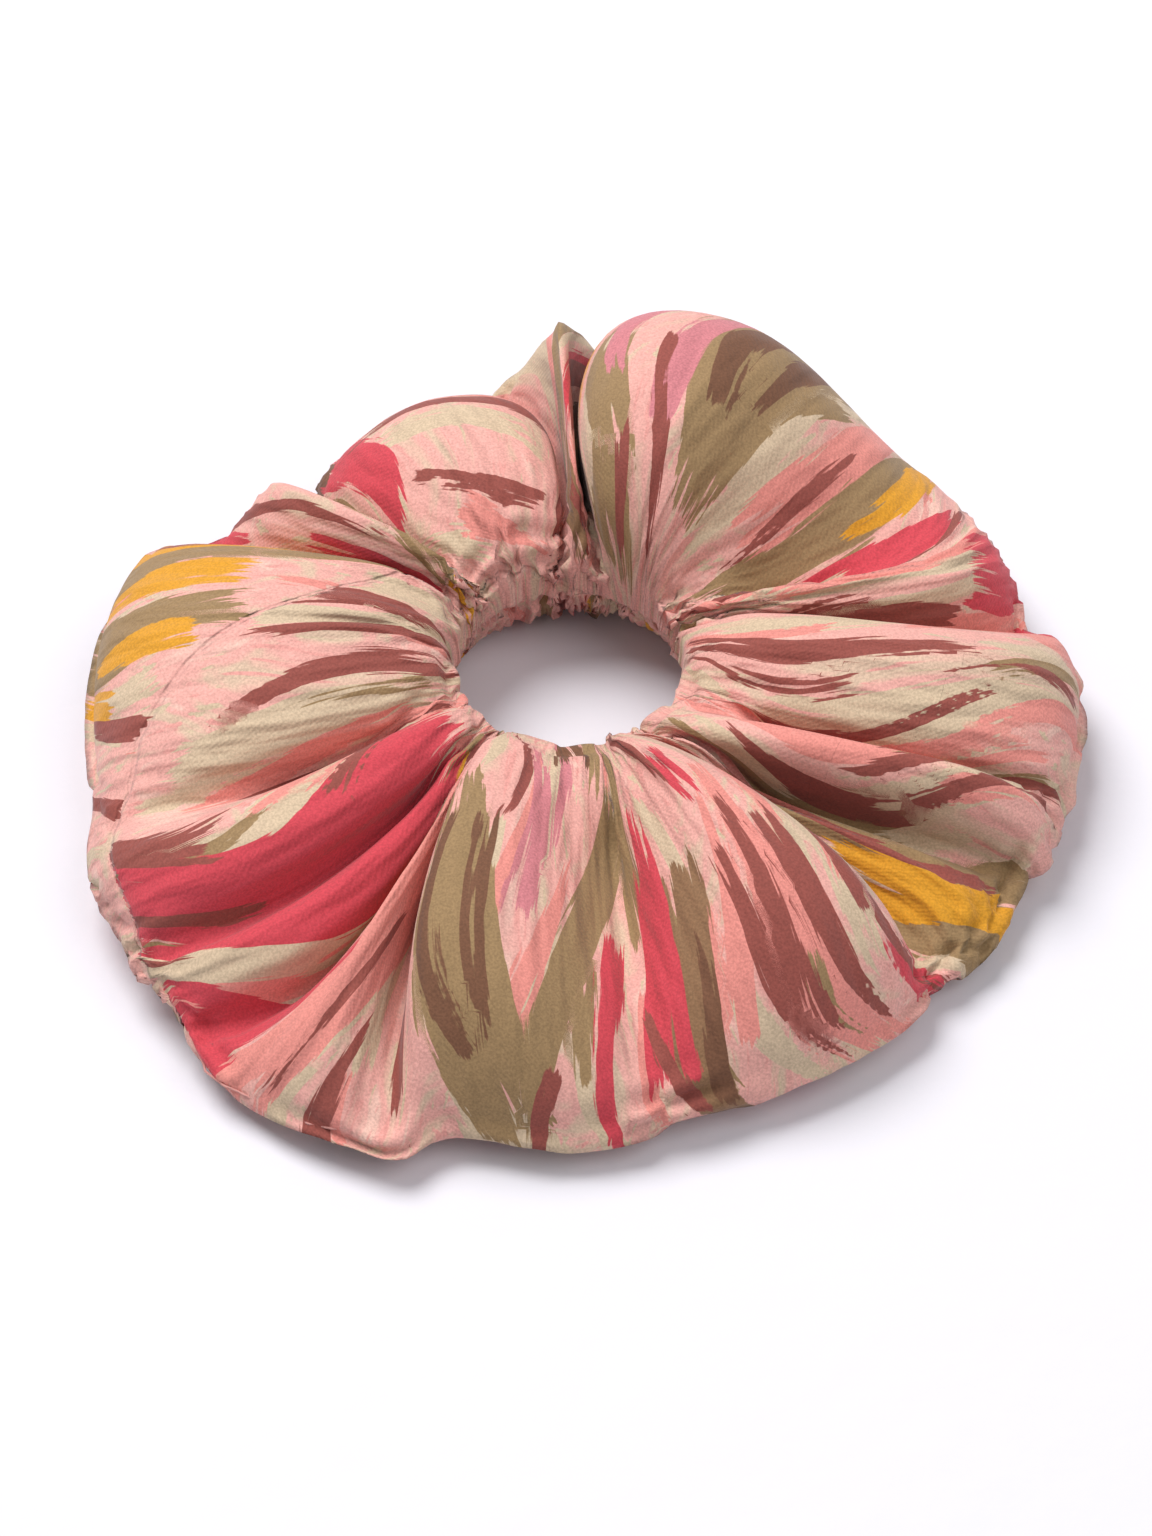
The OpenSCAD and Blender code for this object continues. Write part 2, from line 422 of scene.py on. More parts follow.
def place_on_strip(puff, x):
    """Where a place x of the way through a puff is along the strip, from 0 to 1."""
    names = [g[0] for g in GATHERS]
    ends = puff_ends()
    k = names.index(puff)
    return ends[k] + x * (ends[k + 1] - ends[k])


def seam_across(u):
    known = [place_on_strip(puff, x) for puff, x, _ in SEAM_PLACES]
    return np.interp(u, known, [a for _, _, a in SEAM_PLACES]) % 2


TUBE_LENGTH_ROUND = 2 * TUBE_WIDTH
seam_gap = (across - seam_across(along_strip) + 1) % 2 - 1
from_seam = seam_gap * TUBE_WIDTH / MM
print("seam crosses the left puff at", round(float(seam_across(place_on_strip("left", 0.5))), 2))

# %% [markdown]
# ## The print
# The cloth is printed with loose brush strokes, most across the tube. Each row places one
# stroke on a puff: its colour, then where it starts and ends (how far through the puff,
# and how far from the hole to the outer edge) and its width in millimetres. The strokes are
# made up: only the colours, their sizes and roughly where each colour lies follow the
# real cloth. The underside can't be seen, so its strokes are random, and so are the short
# dashes that fill the gaps on top.

# %% The strokes
STROKES = [
    ("back_right", "taupe", 0.93, 0.15, 0.90, 1.05, 9),
    ("back_right", "mustard", 0.84, 0.40, 0.78, 0.90, 3),
    ("back_right", "mauve", 0.68, 0.45, 0.64, 0.95, 4),
    ("back_right", "mauve", 0.60, 0.35, 0.56, 0.75, 3),
    ("back_right", "olive", 0.42, 0.25, 0.47, 1.00, 13),
    ("back_right", "brown", 0.46, 0.45, 0.50, 0.95, 3),
    ("back_right", "brown", 0.38, 0.50, 0.40, 0.80, 2.5),
    ("back_right", "olive", 0.80, 0.05, 0.72, 0.32, 8),
    ("back_right", "cream", 0.88, 0.12, 0.80, 0.36, 4),
    ("back_right", "brown_red", 0.76, 0.10, 0.70, 0.30, 2.5),
    ("back_right", "cream", 0.27, 0.30, 0.30, 1.00, 6),
    ("back_right", "salmon", 0.20, 0.35, 0.22, 0.95, 5),
    ("back_right", "brown_red", 0.15, 0.30, 0.17, 0.62, 2),
    ("back_right", "olive", 0.06, 0.20, 0.07, 1.00, 6),
    ("back_right", "mustard", 0.05, 0.55, 0.06, 0.92, 4),
    ("right_back", "raspberry", 0.88, 0.40, 0.80, 0.78, 7),
    ("right_back", "brown_red", 0.70, 0.02, 0.78, 0.40, 5),
    ("right_back", "salmon", 0.55, 0.35, 0.58, 0.95, 7),
    ("right_back", "cream", 0.40, 0.20, 0.42, 0.80, 5),
    ("right_back", "raspberry", 0.40, 0.72, 0.30, 1.08, 13),
    ("right_back", "brown_red", 0.20, 0.25, 0.16, 0.65, 4),
    ("right_back", "salmon", 0.10, 0.50, 0.06, 0.90, 5),
    ("right", "raspberry", 0.95, 0.80, 0.85, 1.10, 10),
    ("right", "brown_red", 0.62, 0.10, 0.50, 0.62, 5),
    ("right", "brown_red", 0.50, 0.05, 0.44, 0.45, 3),
    ("right", "cream", 0.80, 0.20, 0.74, 0.60, 4),
    ("right", "salmon", 0.70, 0.55, 0.62, 1.00, 6),
    ("right", "cream", 0.30, 0.35, 0.24, 0.95, 7),
    ("right", "brown_red", 0.38, 0.60, 0.32, 0.90, 3),
    ("right", "salmon", 0.12, 0.20, 0.10, 0.75, 5),
    ("right_front", "salmon", 0.85, 0.10, 0.80, 0.60, 6),
    ("right_front", "brown_red", 0.60, 0.55, 0.55, 1.00, 4),
    ("right_front", "cream", 0.42, 0.25, 0.36, 0.85, 5),
    ("right_front", "brown_red", 0.28, 0.60, 0.24, 0.95, 3),
    ("right_front", "olive", 0.15, 0.20, 0.12, 0.60, 4),
    ("right_low", "brown_red", 0.80, 0.20, 0.76, 0.60, 5),
    ("right_low", "olive", 0.62, 0.35, 0.58, 1.05, 8),
    ("right_low", "mustard", 0.50, 0.55, 0.45, 1.05, 8),
    ("right_low", "olive", 0.30, 0.50, 0.28, 1.10, 9),
    ("right_low", "raspberry", 0.10, 0.30, 0.12, 0.60, 5),
    ("front_right", "olive", 0.06, 0.10, 0.10, 0.55, 5),
    ("front_right", "brown_red", 0.35, 0.06, 0.42, 0.36, 6),
    ("front_right", "raspberry", 0.18, 0.35, 0.15, 0.85, 6),
    ("front_right", "taupe", 0.27, 0.50, 0.24, 1.05, 8),
    ("front_right", "brown", 0.30, 0.60, 0.27, 0.95, 2.5),
    ("front_right", "raspberry", 0.50, 0.28, 0.52, 0.42, 6),
    ("front_right", "brown_red", 0.60, 0.45, 0.58, 0.88, 5),
    ("front_right", "brown_red", 0.72, 0.50, 0.74, 0.92, 4),
    ("front_right", "salmon", 0.66, 0.35, 0.66, 1.00, 8),
    ("front_right", "cream", 0.86, 0.15, 0.84, 0.80, 6),
    ("front_right", "brown_red", 0.92, 0.30, 0.90, 0.70, 3),
    ("front_right", "raspberry", 0.96, 0.78, 0.90, 1.05, 6),
    ("front", "olive", 0.02, 0.34, 0.50, 0.96, 9),
    ("front", "olive", 0.98, 0.30, 0.56, 0.96, 6),
    ("front", "mauve", 0.30, 0.18, 0.46, 0.55, 4),
    ("front", "mauve", 0.50, 0.10, 0.54, 0.45, 3),
    ("front", "brown", 0.62, 0.00, 0.58, 0.20, 8),
    ("front", "olive", 0.80, 0.00, 0.76, 0.28, 5),
    ("front", "brown", 0.08, 0.42, 0.36, 0.80, 2.5),
    ("front", "brown", 0.22, 0.42, 0.44, 0.76, 2),
    ("front", "cream", 0.40, 0.88, 0.52, 1.15, 15),
    ("front", "cream", 0.66, 0.55, 0.56, 0.95, 4),
    ("front", "brown_red", 0.22, 0.12, 0.26, 0.40, 2.5),
    ("front", "raspberry", 0.92, 0.55, 0.88, 1.00, 4),
    ("front_left", "mustard", 0.10, 0.00, 0.06, 0.50, 5),
    ("front_left", "olive", 0.22, 0.02, 0.16, 0.62, 7),
    ("front_left", "raspberry", 0.26, 0.58, 0.12, 1.02, 12),
    ("front_left", "salmon", 0.55, 0.30, 0.42, 1.00, 14),
    ("front_left", "brown_red", 0.78, 0.72, 0.72, 1.05, 4),
    ("front_left", "brown", 0.90, 0.20, 0.86, 0.50, 4),
    ("front_left", "cream", 0.70, 0.40, 0.62, 0.80, 4),
    ("left_low", "raspberry", 0.45, 0.25, 0.20, 0.95, 11),
    ("left_low", "cream", 0.70, 0.50, 0.60, 1.05, 10),
    ("left_low", "mustard", 0.92, 0.25, 0.90, 0.60, 7),
    ("left_low", "olive", 0.78, 0.10, 0.74, 0.42, 5),
    ("left_low", "brown_red", 0.50, 0.85, 0.40, 1.05, 3),
    ("left_front", "raspberry", 0.85, 0.22, 0.72, 1.05, 14),
    ("left_front", "raspberry", 0.66, 0.60, 0.55, 1.05, 5),
    ("left_front", "brown_red", 0.20, 0.65, 0.18, 1.05, 8),
    ("left_front", "brown_red", 0.40, 0.70, 0.38, 1.00, 4),
    ("left_front", "cream", 0.50, 0.25, 0.45, 0.80, 6),
    ("left_front", "salmon", 0.30, 0.10, 0.30, 0.60, 7),
    ("left_front", "brown_red", 0.60, 0.15, 0.62, 0.48, 3),
    ("left", "mustard", 0.12, 0.35, 0.10, 0.95, 7),
    ("left", "olive", 0.22, 0.50, 0.20, 1.05, 9),
    ("left", "mustard", 0.32, 0.55, 0.28, 0.95, 5),
    ("left", "olive", 0.44, 0.55, 0.40, 1.08, 9),
    ("left", "mustard", 0.52, 0.62, 0.48, 0.90, 5),
    ("left", "cream", 0.36, 0.65, 0.34, 1.00, 3),
    ("left", "mustard", 0.60, 0.85, 0.55, 1.10, 5),
    ("left", "brown_red", 0.70, 0.70, 0.64, 1.00, 4),
    ("left", "cream", 0.28, 0.10, 0.30, 0.45, 7),
    ("left", "brown_red", 0.45, 0.08, 0.42, 0.48, 5),
    ("left", "brown_red", 0.56, 0.05, 0.60, 0.55, 4),
    ("left", "cream", 0.52, 0.15, 0.52, 0.50, 4),
    ("left", "brown_red", 0.74, 0.10, 0.78, 0.60, 6),
    ("left", "cream", 0.86, 0.15, 0.84, 0.70, 7),
    ("left", "brown_red", 0.94, 0.60, 0.90, 1.05, 5),
    ("left_back", "raspberry", 0.90, 0.72, 0.80, 1.05, 8),
    ("left_back", "raspberry", 0.95, 0.10, 0.88, 0.55, 5),
    ("left_back", "brown_red", 0.75, 0.40, 0.68, 0.88, 3),
    ("left_back", "mustard", 0.65, 0.02, 0.62, 0.32, 6),
    ("left_back", "olive", 0.50, 0.05, 0.50, 0.50, 6),
    ("left_back", "cream", 0.40, 0.30, 0.36, 0.90, 6),
    ("left_back", "brown_red", 0.20, 0.30, 0.16, 0.80, 4),
    ("back_left", "taupe", 0.75, 0.88, 0.10, 0.68, 7),
    ("back_left", "brown_red", 0.85, 0.76, 0.10, 0.54, 4.4),
    ("back_left", "cream", 0.80, 0.64, 0.20, 0.45, 4),
    ("back_left", "brown_red", 0.80, 0.48, 0.15, 0.30, 3.8),
    ("back_left", "cream", 0.90, 0.98, 0.30, 0.86, 6),
    ("back_left", "salmon", 0.75, 0.80, 0.25, 0.64, 4),
    ("back_left", "salmon", 0.60, 0.34, 0.10, 0.16, 5),
    ("back_left", "cream", 0.90, 0.36, 0.50, 0.22, 4),
    ("back_left", "brown", 0.95, 0.80, 0.90, 1.05, 8),
    ("back_left", "raspberry", 0.92, 0.45, 0.82, 0.85, 6),
    ("back_left", "mustard", 0.94, 0.15, 0.90, 0.34, 4),
    ("back", "raspberry", 0.42, 0.40, 0.38, 1.05, 5),
    ("back", "brown_red", 0.28, 0.40, 0.24, 1.05, 5),
    ("back", "brown", 0.12, 0.30, 0.10, 0.90, 6),
    ("back", "olive", 0.66, 0.40, 0.64, 1.05, 7),
    ("back", "cream", 0.84, 0.50, 0.80, 1.05, 6),
    ("back", "taupe", 0.50, 0.10, 0.50, 0.40, 6),
]
COLOURS = {                     # from the first printed to the last
    "cream": (0.58, 0.44, 0.30),
    "salmon": (0.70, 0.25, 0.21),
    "olive": (0.30, 0.19, 0.09),
    "taupe": (0.25, 0.135, 0.068),
    "mauve": (0.56, 0.19, 0.21),
    "mustard": (0.64, 0.29, 0.02),
    "raspberry": (0.56, 0.055, 0.075),
    "brown_red": (0.27, 0.068, 0.053),
    "brown": (0.17, 0.075, 0.04),
}
UNDER_STROKES = 90
DASHES = 180


BOW = 0.05                 # of a stroke's length, the most it bends aside
FRAY_INSIDE = 0.13         # rise in depth for each mm in from a stroke's end
FRAY_OUTSIDE = 0.6         # fall in depth for each mm beyond it
HAND_WIDTH = 1.15          # times the table's widths
BROWN_RED_WIDTH = 0.95     # the same for the thin brown-red strokes


def all_strokes():
    """Every stroke as colour, start and end on the flat cloth (mm) and width (mm)."""
    length = STRIP_LENGTH / MM
    width = TUBE_WIDTH / MM
    rows = []
    for puff, colour, x1, a1, x2, a2, wide in STROKES:
        start = (place_on_strip(puff, x1) * length, a1 * width)
        end = (place_on_strip(puff, x2) * length, a2 * width)
        fuller = BROWN_RED_WIDTH if colour == "brown_red" else HAND_WIDTH
        rows.append((colour, start, end, fuller * wide))
    rng = np.random.default_rng(12)
    names = ["cream", "salmon", "olive", "brown_red", "raspberry", "mustard", "taupe"]
    for k in range(UNDER_STROKES):
        x = (k + rng.uniform(0, 1)) / UNDER_STROKES * length
        middle = rng.uniform(1.2, 1.8) * width
        run = rng.uniform(8, 20)
        tilt = rng.uniform(-0.35, 0.35) * run
        rows.append((names[k * 3 % 7], (x - tilt, middle - run), (x + tilt, middle + run),
                     rng.uniform(3, 9)))
    names = ["cream", "salmon", "brown_red", "cream", "olive", "cream", "salmon"]
    for k in range(DASHES):
        x = (k + rng.uniform(0, 1)) / DASHES * length
        crosswise = place_on_strip("back_left", 0) < x / length < place_on_strip("back_left", 1)
        middle = rng.uniform(0.1, 1.05) * width
        run = rng.uniform(5, 13)
        tilt = rng.uniform(-0.3, 0.3) * run
        wide = rng.uniform(1.8, 3.6) if k % 7 == 2 else rng.uniform(2.5, 5)
        if not crosswise:                   # on that puff the strokes run along the ring
            rows.append((names[k % 7], (x - tilt, middle - run), (x + tilt, middle + run), wide))
    return rows


def stroke_fields():
    """For each colour and point: place over and along the nearest stroke, and depth in it."""
    length = STRIP_LENGTH / MM
    loop = TUBE_LENGTH_ROUND / MM
    x = along_strip * length
    y = across * TUBE_WIDTH / MM
    waves = 2 * math.pi * along_strip
    long_bend = 4.5 * np.sin(2 * math.pi * y / 57 + 2 * waves)
    short_bend = 1.5 * np.sin(math.pi * y / 19 + 5 * waves)
    x = x + long_bend + short_bend
    fields = {name: np.tile([0.0, 0.0, -6.0], (len(x), 1)) for name in COLOURS}
    for number, (name, start, end, wide) in enumerate(all_strokes()):
        run = np.subtract(end, start)
        size = float(np.hypot(*run))
        run = run / size
        dx = (x - start[0] + length / 2) % length - length / 2
        middle = (start[1] + end[1]) / 2
        dy = (y - middle + loop / 2) % loop - loop / 2 + middle - start[1]
        along = dx * run[0] + dy * run[1]
        over = dx * -run[1] + dy * run[0]
        t = np.clip(along / size, 0, 1)
        over = over - BOW * size * math.sin(number * 2.4) * 4 * t * (1 - t)
        worn = t if number % 2 else 1 - t
        half = wide / 2 * (1.15 - 0.65 * worn**1.5)
        ends = np.minimum(along, size - along)
        frayed = np.where(ends > 0, FRAY_INSIDE * ends, FRAY_OUTSIDE * ends) + 0.1
        side = half - np.abs(over)
        depth = np.minimum(np.where(side > 0, side, 2 * side), frayed)
        # a stroke stops at the seam, because the cloth's two edges meet there
        seam = seam_across((start[0] + end[0]) / 2 / length % 1)
        gap = (middle / (TUBE_WIDTH / MM) - seam + 1) % 2 - 1
        if abs(gap) < 0.6:
            kept = np.where(np.abs(seam_gap) < 0.9, 3 * np.sign(gap) * from_seam, depth)
            depth = np.minimum(depth, kept)
        field = fields[name]
        deeper = depth > field[:, 2]
        field[deeper, 0] = over[deeper] + 13.7 * number
        field[deeper, 1] = along[deeper]
        field[deeper, 2] = depth[deeper]
    return fields


print(len(STROKES), "placed strokes of", len(all_strokes()), "in all")

# %% [markdown]
# ## Building the casing
# How deep each point lies inside a brush stroke is stored on the mesh, one attribute for
# each colour, and the material decides where the ragged edge of each stroke falls. The
# cloth gets its own thickness, and a shallow groove where the long seam pulls it in.

# %% The casing
CLOTH_THICKNESS = 0.4 * MM
GROOVE_DEPTH = 0.3 * MM
GROOVE_REACH = 1.1         # mm to each side of the seam


def grid_normals(points):
    """Outward normals of a closed grid."""
    ahead = np.roll(points, -1, 0) - np.roll(points, 1, 0)
    aside = np.roll(points, -1, 1) - np.roll(points, 1, 1)
    normals = np.cross(ahead, aside)
    normals /= np.linalg.norm(normals, axis=-1, keepdims=True) + 1e-12
    middle = points.mean(axis=1, keepdims=True)
    if ((points - middle) * normals).sum() < 0:
        normals = -normals
    return normals


def make_casing():
    points = fine.copy()
    groove = np.exp(-((from_seam / GROOVE_REACH) ** 2)).reshape(FINE_RING, FINE_TUBE, 1)
    points -= GROOVE_DEPTH * groove * grid_normals(points)
    n, m = FINE_RING, FINE_TUBE
    i, j = np.meshgrid(np.arange(n), np.arange(m), indexing="ij")
    i2, j2 = (i + 1) % n, (j + 1) % m
    faces = np.stack([i * m + j, i2 * m + j, i2 * m + j2, i * m + j2], -1).reshape(-1, 4)
    corners = np.stack([np.stack([i, j], -1), np.stack([i + 1, j], -1),
                        np.stack([i + 1, j + 1], -1), np.stack([i, j + 1], -1)], 2)
    corners = corners.reshape(-1, 4, 2) / (n, m)
    centre = points.mean(axis=1)[0]
    a, b, c = points.reshape(-1, 3)[faces[0][:3]]
    if np.dot(np.cross(b - a, c - a), a - centre) < 0:
        faces = faces[:, ::-1]
        corners = corners[:, ::-1]
    mesh = bpy.data.meshes.new("casing")
    mesh.from_pydata(points.reshape(-1, 3).tolist(), [], faces.tolist())
    uv = mesh.uv_layers.new(name="cloth")
    uv.data.foreach_set("uv", corners.reshape(-1).astype(np.float32))
    for name, field in stroke_fields().items():
        attribute = mesh.attributes.new(name, "FLOAT_VECTOR", "POINT")
        attribute.data.foreach_set("vector", field.reshape(-1).astype(np.float32))
    attribute = mesh.attributes.new("seam", "FLOAT", "POINT")
    attribute.data.foreach_set("value", from_seam.astype(np.float32))
    mesh.polygons.foreach_set("use_smooth", [True] * len(mesh.polygons))
    casing = bpy.data.objects.new("casing", mesh)
    bpy.context.scene.collection.objects.link(casing)
    bpy.ops.object.select_all(action="DESELECT")
    casing.select_set(True)
    bpy.context.view_layer.objects.active = casing
    thick = casing.modifiers.new("thickness", "SOLIDIFY")
    thick.thickness = CLOTH_THICKNESS
    thick.offset = -1
    bpy.ops.object.modifier_apply(modifier=thick.name)
    return casing


casing = make_casing()
skin = sum(p.area for p in casing.data.polygons) / 2
print("cloth area, in square metres:", round(skin, 4), "faces:", len(casing.data.polygons))

# %% [markdown]
# ## The colours of the print
# A small node group turns a stroke's stored depth into a mask. Noise stretched along the
# stroke frays its ends into dry-brush streaks, because there the depth is small.

# %% The brush


def add_node(tree, kind, settings=None, **inputs):
    node = tree.nodes.new(kind)
    for name, value in (settings or {}).items():
        setattr(node, name, value)
    for name, value in inputs.items():
        socket = node.inputs[int(name[1:])]
        if isinstance(value, bpy.types.NodeSocket):
            tree.links.new(value, socket)
        else:
            socket.default_value = value
    return node


def math_node(tree, operation, a, b=0.0, c=0.0):
    return add_node(tree, "ShaderNodeMath", {"operation": operation}, i0=a, i1=b, i2=c).outputs[0]


def make_brush_group():
    group = bpy.data.node_groups.new("brush", "ShaderNodeTree")
    group.interface.new_socket("Stroke", in_out="INPUT", socket_type="NodeSocketVector")
    group.interface.new_socket("Mask", in_out="OUTPUT", socket_type="NodeSocketFloat")
    inside = group.nodes.new("NodeGroupInput").outputs[0]
    parts = add_node(group, "ShaderNodeSeparateXYZ", i0=inside)
    over, along, depth = parts.outputs
    masks = depth
    for fine_over, fine_along, size in ((0.45, 0.04, 3.0), (1.7, 0.11, 1.9)):
        place = add_node(group, "ShaderNodeCombineXYZ",
                         i0=math_node(group, "MULTIPLY", over, fine_over),
                         i1=math_node(group, "MULTIPLY", along, fine_along))
        noise = add_node(group, "ShaderNodeTexNoise", i0=place.outputs[0])
        noise.inputs["Scale"].default_value = 1
        noise.inputs["Detail"].default_value = 2
        swing = math_node(group, "SUBTRACT", noise.outputs[0], 0.5)
        masks = math_node(group, "MULTIPLY_ADD", swing, size * 1.6, masks)
    edge = add_node(group, "ShaderNodeMapRange", {"interpolation_type": "SMOOTHSTEP"}, i0=masks)
    edge.inputs["From Min"].default_value = -0.12
    edge.inputs["From Max"].default_value = 0.14
    out = group.nodes.new("NodeGroupOutput")
    group.links.new(edge.outputs[0], out.inputs[0])
    return group


def make_flow_group():
    """Streaks that flow across the cloth: a value from 0 to 1, from a place in mm."""
    group = bpy.data.node_groups.new("flow", "ShaderNodeTree")
    group.interface.new_socket("Place", in_out="INPUT", socket_type="NodeSocketVector")
    group.interface.new_socket("Streaks", in_out="OUTPUT", socket_type="NodeSocketFloat")
    group.interface.new_socket("Fine", in_out="OUTPUT", socket_type="NodeSocketFloat")
    inside = group.nodes.new("NodeGroupInput").outputs[0]
    bend = add_node(group, "ShaderNodeTexNoise", i0=inside)
    bend.inputs["Scale"].default_value = 0.03
    bend.inputs["Detail"].default_value = 1
    shift = add_node(group, "ShaderNodeVectorMath", {"operation": "SCALE"}, i0=bend.outputs[1])
    shift.inputs["Scale"].default_value = 22
    moved = add_node(group, "ShaderNodeVectorMath", {"operation": "ADD"},
                     i0=inside, i1=shift.outputs[0]).outputs[0]
    out = group.nodes.new("NodeGroupOutput")
    for k, squeeze in enumerate(((0.16, 0.022, 1), (0.7, 0.05, 1))):
        place = add_node(group, "ShaderNodeVectorMath", {"operation": "MULTIPLY"},
                         i0=moved, i1=squeeze)
        noise = add_node(group, "ShaderNodeTexNoise", i0=place.outputs[0])
        noise.inputs["Scale"].default_value = 1
        noise.inputs["Detail"].default_value = 3
        group.links.new(noise.outputs[0], out.inputs[k])
    return group


def ramp(tree, value, low, high):
    node = add_node(tree, "ShaderNodeMapRange", {"interpolation_type": "SMOOTHSTEP"}, i0=value)
    node.inputs["From Min"].default_value = low
    node.inputs["From Max"].default_value = high
    return node.outputs[0]


def mix_colour(tree, mask, under, over):
    node = add_node(tree, "ShaderNodeMix", {"data_type": "RGBA"})
    for name, value in (("Factor_Float", mask), ("A_Color", under), ("B_Color", over)):
        socket = next(s for s in node.inputs if s.identifier == name)
        if isinstance(value, bpy.types.NodeSocket):
            tree.links.new(value, socket)
        else:
            socket.default_value = value if isinstance(value, float) else (*value, 1)
    return next(s for s in node.outputs if s.identifier == "Result_Color")


# %% [markdown]
# ## The weave
# Crepe is a thin matte cloth of tightly twisted threads. Its lines run at a slant, about
# 0.6 mm apart here, and its surface is grainy. Both are a bump only a few hundredths of a
# millimetre deep, next to the soft ripples that a gathered cloth shows between its folds.

# %% The printed crepe
PINK = (0.72, 0.36, 0.31)
PALE_PINK = (0.74, 0.46, 0.38)
CREAM_PINK = (0.62, 0.44, 0.32)
DEEP_PINK = (0.69, 0.31, 0.27)
WEAVE_SCALE = 0.78125           # makes the slanting lines 0.57 mm apart
GRAIN_SCALE = 3200


def make_crepe():
    material = bpy.data.materials.new("printed_crepe")
    material.use_nodes = True
    tree = material.node_tree
    shader = tree.nodes["Principled BSDF"]
    uv = add_node(tree, "ShaderNodeUVMap", {"uv_map": "cloth"})
    size = (STRIP_LENGTH / MM, TUBE_LENGTH_ROUND / MM, 1)
    place = add_node(tree, "ShaderNodeVectorMath", {"operation": "MULTIPLY"},
                     i0=uv.outputs[0], i1=size).outputs[0]
    flow = add_node(tree, "ShaderNodeGroup", {"node_tree": make_flow_group()}, i0=place)
    streaks, fine_streaks = flow.outputs
    colour = mix_colour(tree, ramp(tree, streaks, 0.50, 0.66), PINK, CREAM_PINK)
    colour = mix_colour(tree, ramp(tree, streaks, 0.42, 0.30), colour, PALE_PINK)
    colour = mix_colour(tree, ramp(tree, fine_streaks, 0.60, 0.66), colour, DEEP_PINK)
    colour = mix_colour(tree, ramp(tree, fine_streaks, 0.37, 0.32), colour, COLOURS["cream"])
    brush = make_brush_group()
    for name, paint in COLOURS.items():
        stored = add_node(tree, "ShaderNodeAttribute", {"attribute_name": name})
        mask = add_node(tree, "ShaderNodeGroup", {"node_tree": brush}, i0=stored.outputs[1])
        colour = mix_colour(tree, mask.outputs[0], colour, paint)

    grain_at = add_node(tree, "ShaderNodeTexCoord").outputs["Object"]
    grain = add_node(tree, "ShaderNodeTexNoise", i0=grain_at)
    grain.inputs["Scale"].default_value = GRAIN_SCALE
    grain.inputs["Detail"].default_value = 2
    shade = ramp(tree, grain.outputs[0], 0.25, 0.75)
    shade = math_node(tree, "MULTIPLY_ADD", shade, 0.30, 0.84)
    tone = add_node(tree, "ShaderNodeVectorMath", {"operation": "SCALE"}, i0=colour)
    tree.links.new(shade, tone.inputs["Scale"])
    tree.links.new(tone.outputs[0], shader.inputs["Base Color"])

    slant = add_node(tree, "ShaderNodeVectorMath", {"operation": "SCALE"}, i0=place)
    slant.inputs["Scale"].default_value = WEAVE_SCALE
    twill = add_node(tree, "ShaderNodeTexWave", {"bands_direction": "DIAGONAL"},
                     i0=slant.outputs[0])
    twill.inputs["Scale"].default_value = 1
    twill.inputs["Distortion"].default_value = 1.5
    twill.inputs["Detail"].default_value = 1
    ripple_at = add_node(tree, "ShaderNodeVectorMath", {"operation": "MULTIPLY"},
                         i0=place, i1=(0.28, 0.09, 1)).outputs[0]
    ripple = add_node(tree, "ShaderNodeTexNoise", i0=ripple_at)
    ripple.inputs["Scale"].default_value = 1
    ripple.inputs["Detail"].default_value = 1.5
    seam = add_node(tree, "ShaderNodeAttribute", {"attribute_name": "seam"}).outputs[2]
    groove = ramp(tree, math_node(tree, "ABSOLUTE", seam), 0.1, 0.7)
    bump = None
    for height, depth, strength in ((ripple.outputs[0], 2.2, 0.8), (groove, 0.35, 0.9),
                                    (twill.outputs[1], 0.03, 0.5), (grain.outputs[0], 0.05, 0.6)):
        node = add_node(tree, "ShaderNodeBump")
        node.inputs["Distance"].default_value = depth * MM
        node.inputs["Strength"].default_value = strength
        tree.links.new(height, node.inputs["Height"])
        if bump:
            tree.links.new(bump, node.inputs["Normal"])
        bump = node.outputs[0]
    tree.links.new(bump, shader.inputs["Normal"])
    shader.inputs["Roughness"].default_value = 0.82
    shader.inputs["Specular IOR Level"].default_value = 0.25
    shader.inputs["Sheen Weight"].default_value = 0.12
    shader.inputs["Sheen Roughness"].default_value = 0.5
    return material


casing.data.materials.append(make_crepe())
print("colours in the print:", len(COLOURS) + 4)

# %% [markdown]
# ## The elastic
# One length of flat braided elastic lies inside the tube, behind the cloth of the hole.
# Its ends overlap by 12 mm: one steps outwards there and lies on the other.

# %% The elastic loop
ELASTIC_WIDTH = ELASTIC_HI.z - ELASTIC_LO.z
ELASTIC_THICKNESS = 1.0 * MM
ELASTIC_OVERLAP = 12 * MM
JOIN_DEG = 238
ELASTIC_MIDDLE = (ELASTIC_HI.z + ELASTIC_LO.z) / 2
ELASTIC_MID_R = ELASTIC_R - ELASTIC_THICKNESS / 2


